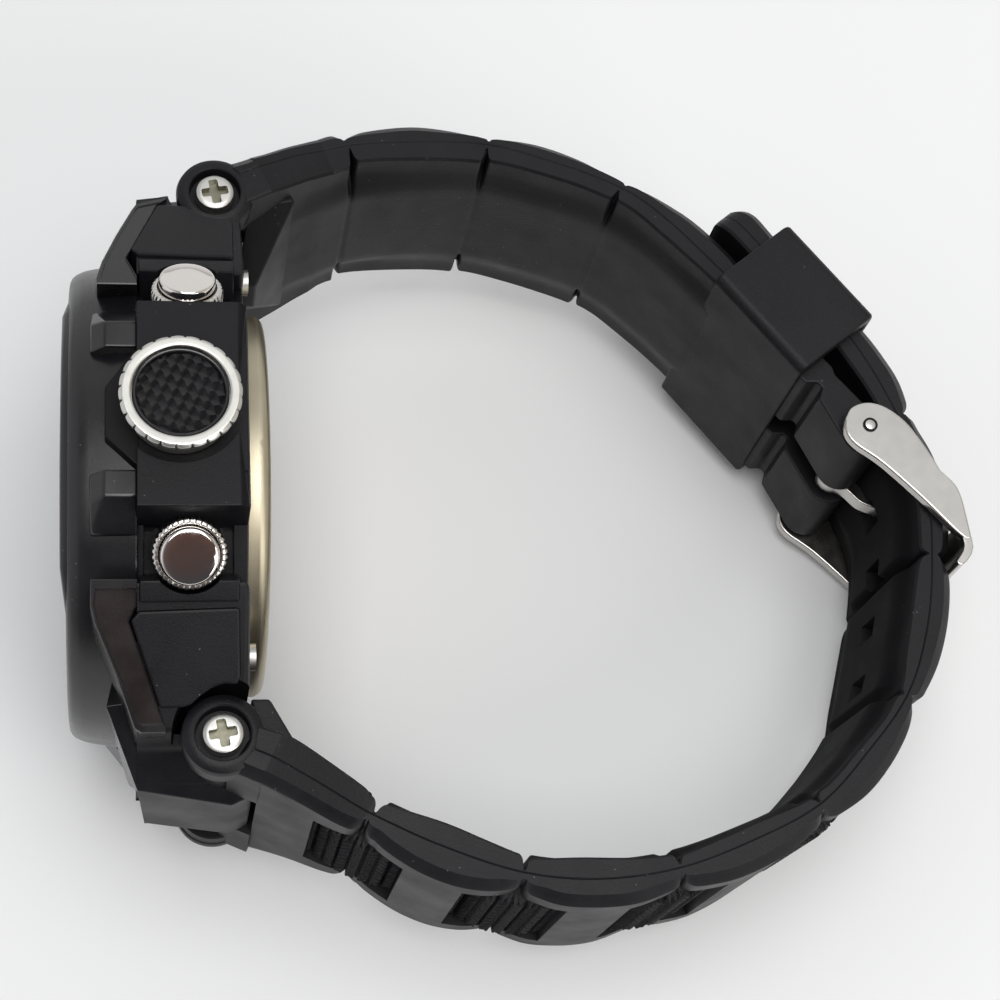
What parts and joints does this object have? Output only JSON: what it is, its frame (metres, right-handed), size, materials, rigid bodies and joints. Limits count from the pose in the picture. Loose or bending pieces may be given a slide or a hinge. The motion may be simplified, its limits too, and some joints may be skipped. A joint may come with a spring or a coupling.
{
  "type": "wristwatch",
  "caption": "Closed analogue-digital wristwatch: round resin case with crown and side pushers on a linked resin strap with keeper and tongue buckle.",
  "frame": {"origin": "centre of the case back's outer face", "axes": "+X out of the case back toward the wrist space and the buckle, +Y toward 12 o'clock, +Z toward the crown at 3 o'clock"},
  "size_m": [0.0913, 0.0826, 0.0555],
  "materials": {
    "case_resin": "satin moulded resin",
    "bezel_resin": "satin moulded resin",
    "crystal_glass": "polished mineral glass",
    "seal_rubber": "matt black rubber",
    "chapter_plastic": "satin",
    "dial_plastic": "matt black",
    "lcd_glass": "grey-green display",
    "hand_metal": "white lacquer",
    "module_plastic": "moulded dark grey",
    "copper_wire": "enamelled copper winding",
    "spring_steel": "bright spring steel",
    "board_laminate": "solder mask green",
    "cell_steel": "bright nickel",
    "buzzer_brass": "thin brass disc",
    "back_steel": "brushed stainless steel",
    "screw_steel": "bright turned steel",
    "polished_steel": "polished steel",
    "inlay_rubber": "moulded rubber with small pyramids",
    "collar_steel": "dark plated steel, knurled",
    "strap_resin": "matt moulded resin",
    "buckle_steel": "polished stainless steel"
  },
  "bodies": {
    "case": {"case_middle": "case_resin", "bezel": "bezel_resin", "crystal": "crystal_glass", "crystal_gasket": "seal_rubber", "chapter_ring": "chapter_plastic", "dial": "dial_plastic", "lcd_panel": "lcd_glass", "movement_holder": "module_plastic", "movement_module": "module_plastic", "motor_coil": "copper_wire", "motor_stator": "spring_steel", "circuit_board": "board_laminate", "battery": "cell_steel", "battery_clamp": "spring_steel", "quartz_can": "cell_steel", "buzzer": "buzzer_brass", "buzzer_spring": "spring_steel", "case_back": "back_steel", "case_back_gasket": "seal_rubber", "case_back_screws": "screw_steel", "crown_tube": "screw_steel", "pusher_collars": "collar_steel", "pusher_springs": "spring_steel", "pusher_seals": "seal_rubber", "strap_12": "strap_resin", "strap_6": "strap_resin", "lug_tubes": "screw_steel", "lug_screws": "screw_steel", "buckle_pin": "screw_steel"},
    "hour_hand": {"hour_hand": "hand_metal"},
    "minute_hand": {"minute_hand": "hand_metal"},
    "second_hand": {"second_hand": "hand_metal"},
    "crown_slider": {"crown_seal": "seal_rubber"},
    "crown": {"crown_shell": "polished_steel", "crown_inlay": "inlay_rubber", "crown_stem": "screw_steel"},
    "pusher_2": {"pusher_2": "polished_steel"},
    "pusher_4": {"pusher_4": "polished_steel"},
    "pusher_8": {"pusher_8": "polished_steel"},
    "pusher_10": {"pusher_10": "polished_steel"},
    "keeper": {"keeper": "strap_resin"},
    "buckle_frame": {"buckle_frame": "buckle_steel"},
    "buckle_tongue": {"buckle_tongue": "buckle_steel"}
  },
  "joints": [
    {"name": "minute_turn", "type": "hinge", "parent": "case", "child": "minute_hand", "pos_m": [-0.00867, 0, 0], "axis": [-1, 0, 0], "continuous": true},
    {"name": "hour_turn", "type": "hinge", "parent": "case", "child": "hour_hand", "pos_m": [-0.00867, 0, 0], "axis": [-1, 0, 0], "continuous": true},
    {"name": "second_turn", "type": "hinge", "parent": "case", "child": "second_hand", "pos_m": [-0.00867, 0, 0], "axis": [-1, 0, 0], "continuous": true},
    {"name": "crown_pull", "type": "slide", "parent": "case", "child": "crown_slider", "axis": [0, 0, 1], "range_m": [0, 0.0012]},
    {"name": "crown_turn", "type": "hinge", "parent": "crown_slider", "child": "crown", "pos_m": [-0.00867, 0, 0.027], "axis": [0, 0, 1], "continuous": true},
    {"name": "pusher_2_press", "type": "slide", "parent": "case", "child": "pusher_2", "axis": [0, -0.512, -0.859], "range_m": [0, 0.0009], "stiffness_N_per_m": 2500, "springref_m": -0.0008},
    {"name": "pusher_4_press", "type": "slide", "parent": "case", "child": "pusher_4", "axis": [0, 0.512, -0.859], "range_m": [0, 0.0009], "stiffness_N_per_m": 2500, "springref_m": -0.0008},
    {"name": "pusher_8_press", "type": "slide", "parent": "case", "child": "pusher_8", "axis": [0, 0.512, 0.859], "range_m": [0, 0.0009], "stiffness_N_per_m": 2500, "springref_m": -0.0008},
    {"name": "pusher_10_press", "type": "slide", "parent": "case", "child": "pusher_10", "axis": [0, -0.512, 0.859], "range_m": [0, 0.0009], "stiffness_N_per_m": 2500, "springref_m": -0.0008},
    {"name": "keeper_slide", "type": "slide", "parent": "case", "child": "keeper", "axis": [0.6091, -0.7931, 0], "range_m": [-0.0015, 0.0015]},
    {"name": "buckle_swing", "type": "hinge", "parent": "case", "child": "buckle_frame", "pos_m": [0.06123, 0.0036, 0], "axis": [0, 0, 1], "range_deg": [0, 4]},
    {"name": "tongue_swing", "type": "hinge", "parent": "buckle_frame", "child": "buckle_tongue", "pos_m": [0.06123, 0.0036, 0], "axis": [0, 0, 1], "range_deg": [0, 2.5]}
  ],
  "couplings": [
    {"joint": "hour_turn", "follows": "minute_turn", "ratio": 0.083333}
  ]
}
